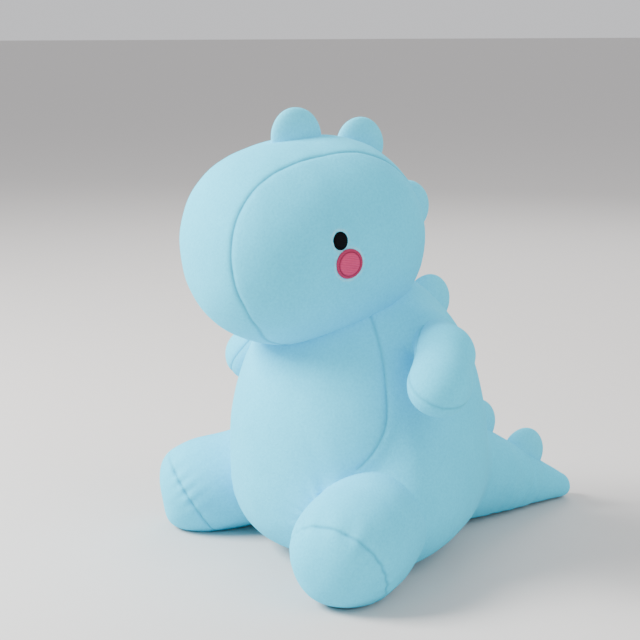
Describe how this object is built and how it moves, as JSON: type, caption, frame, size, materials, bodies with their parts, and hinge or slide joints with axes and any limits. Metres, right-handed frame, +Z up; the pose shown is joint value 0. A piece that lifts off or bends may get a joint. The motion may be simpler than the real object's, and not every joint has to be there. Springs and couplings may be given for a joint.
{
  "type": "stuffed dinosaur",
  "caption": "Sitting soft plush dinosaur with a big blunt head, stubby arms, fat legs with round soles, a cone tail and half-disc spikes down its back.",
  "frame": {"origin": "centre of the flat seat that it sits on", "axes": "+Z up, -Y the way it faces, +X to its own left"},
  "size_m": [0.379, 0.4499, 0.4317],
  "materials": {
    "plush": "super-soft short pile, matt with a soft sheen",
    "spike_plush": "the same short pile, a shade deeper",
    "eye_thread": "satin embroidery",
    "cheek_thread": "satin embroidery",
    "fibre_fill": "loose polyester fibre"
  },
  "bodies": {
    "torso": {"belly_panel": "plush", "side_panel_left": "plush", "side_panel_right": "plush", "seat_panel": "plush", "torso_fill": "fibre_fill", "spike_4_left": "spike_plush", "spike_4_right": "spike_plush", "spike_4_fill": "fibre_fill"},
    "head": {"head_gusset": "plush", "head_side_left": "plush", "head_side_right": "plush", "head_fill": "fibre_fill", "eye_left": "eye_thread", "eye_right": "eye_thread", "cheek_left": "cheek_thread", "cheek_right": "cheek_thread", "spike_1_left": "spike_plush", "spike_1_right": "spike_plush", "spike_1_fill": "fibre_fill", "spike_2_left": "spike_plush", "spike_2_right": "spike_plush", "spike_2_fill": "fibre_fill", "spike_3_left": "spike_plush", "spike_3_right": "spike_plush", "spike_3_fill": "fibre_fill"},
    "arm_left": {"arm_left_upper": "plush", "arm_left_under": "plush", "arm_left_fill": "fibre_fill"},
    "arm_right": {"arm_right_upper": "plush", "arm_right_under": "plush", "arm_right_fill": "fibre_fill"},
    "leg_left": {"leg_left_outer": "plush", "leg_left_inner": "plush", "leg_left_sole": "plush", "leg_left_fill": "fibre_fill"},
    "leg_right": {"leg_right_outer": "plush", "leg_right_inner": "plush", "leg_right_sole": "plush", "leg_right_fill": "fibre_fill"},
    "tail": {"tail_left": "plush", "tail_right": "plush", "tail_fill": "fibre_fill", "spike_5_left": "spike_plush", "spike_5_right": "spike_plush", "spike_5_fill": "fibre_fill", "spike_6_left": "spike_plush", "spike_6_right": "spike_plush", "spike_6_fill": "fibre_fill"}
  },
  "joints": [
    {"name": "head_nod", "type": "hinge", "parent": "torso", "child": "head", "pos_m": [0, -0.012, 0.224], "axis": [1, 0, 0], "range_deg": [-8, 8], "stiffness_Nm_per_rad": 8},
    {"name": "arm_left_lift", "type": "hinge", "parent": "torso", "child": "arm_left", "pos_m": [0.092, 0.008, 0.22], "axis": [0, -1, 0], "range_deg": [-10, 12], "stiffness_Nm_per_rad": 1.2},
    {"name": "arm_right_lift", "type": "hinge", "parent": "torso", "child": "arm_right", "pos_m": [-0.092, 0.008, 0.22], "axis": [0, 1, 0], "range_deg": [-10, 12], "stiffness_Nm_per_rad": 1.2},
    {"name": "leg_left_splay", "type": "hinge", "parent": "torso", "child": "leg_left", "pos_m": [0.088, -0.028, 0.058], "axis": [0, 0, 1], "range_deg": [-6, 10], "stiffness_Nm_per_rad": 2.5},
    {"name": "leg_right_splay", "type": "hinge", "parent": "torso", "child": "leg_right", "pos_m": [-0.088, -0.028, 0.058], "axis": [0, 0, -1], "range_deg": [-6, 10], "stiffness_Nm_per_rad": 2.5},
    {"name": "tail_wag", "type": "hinge", "parent": "torso", "child": "tail", "pos_m": [0, 0.11, 0.058], "axis": [0, 0, 1], "range_deg": [-10, 10], "stiffness_Nm_per_rad": 2.5}
  ]
}
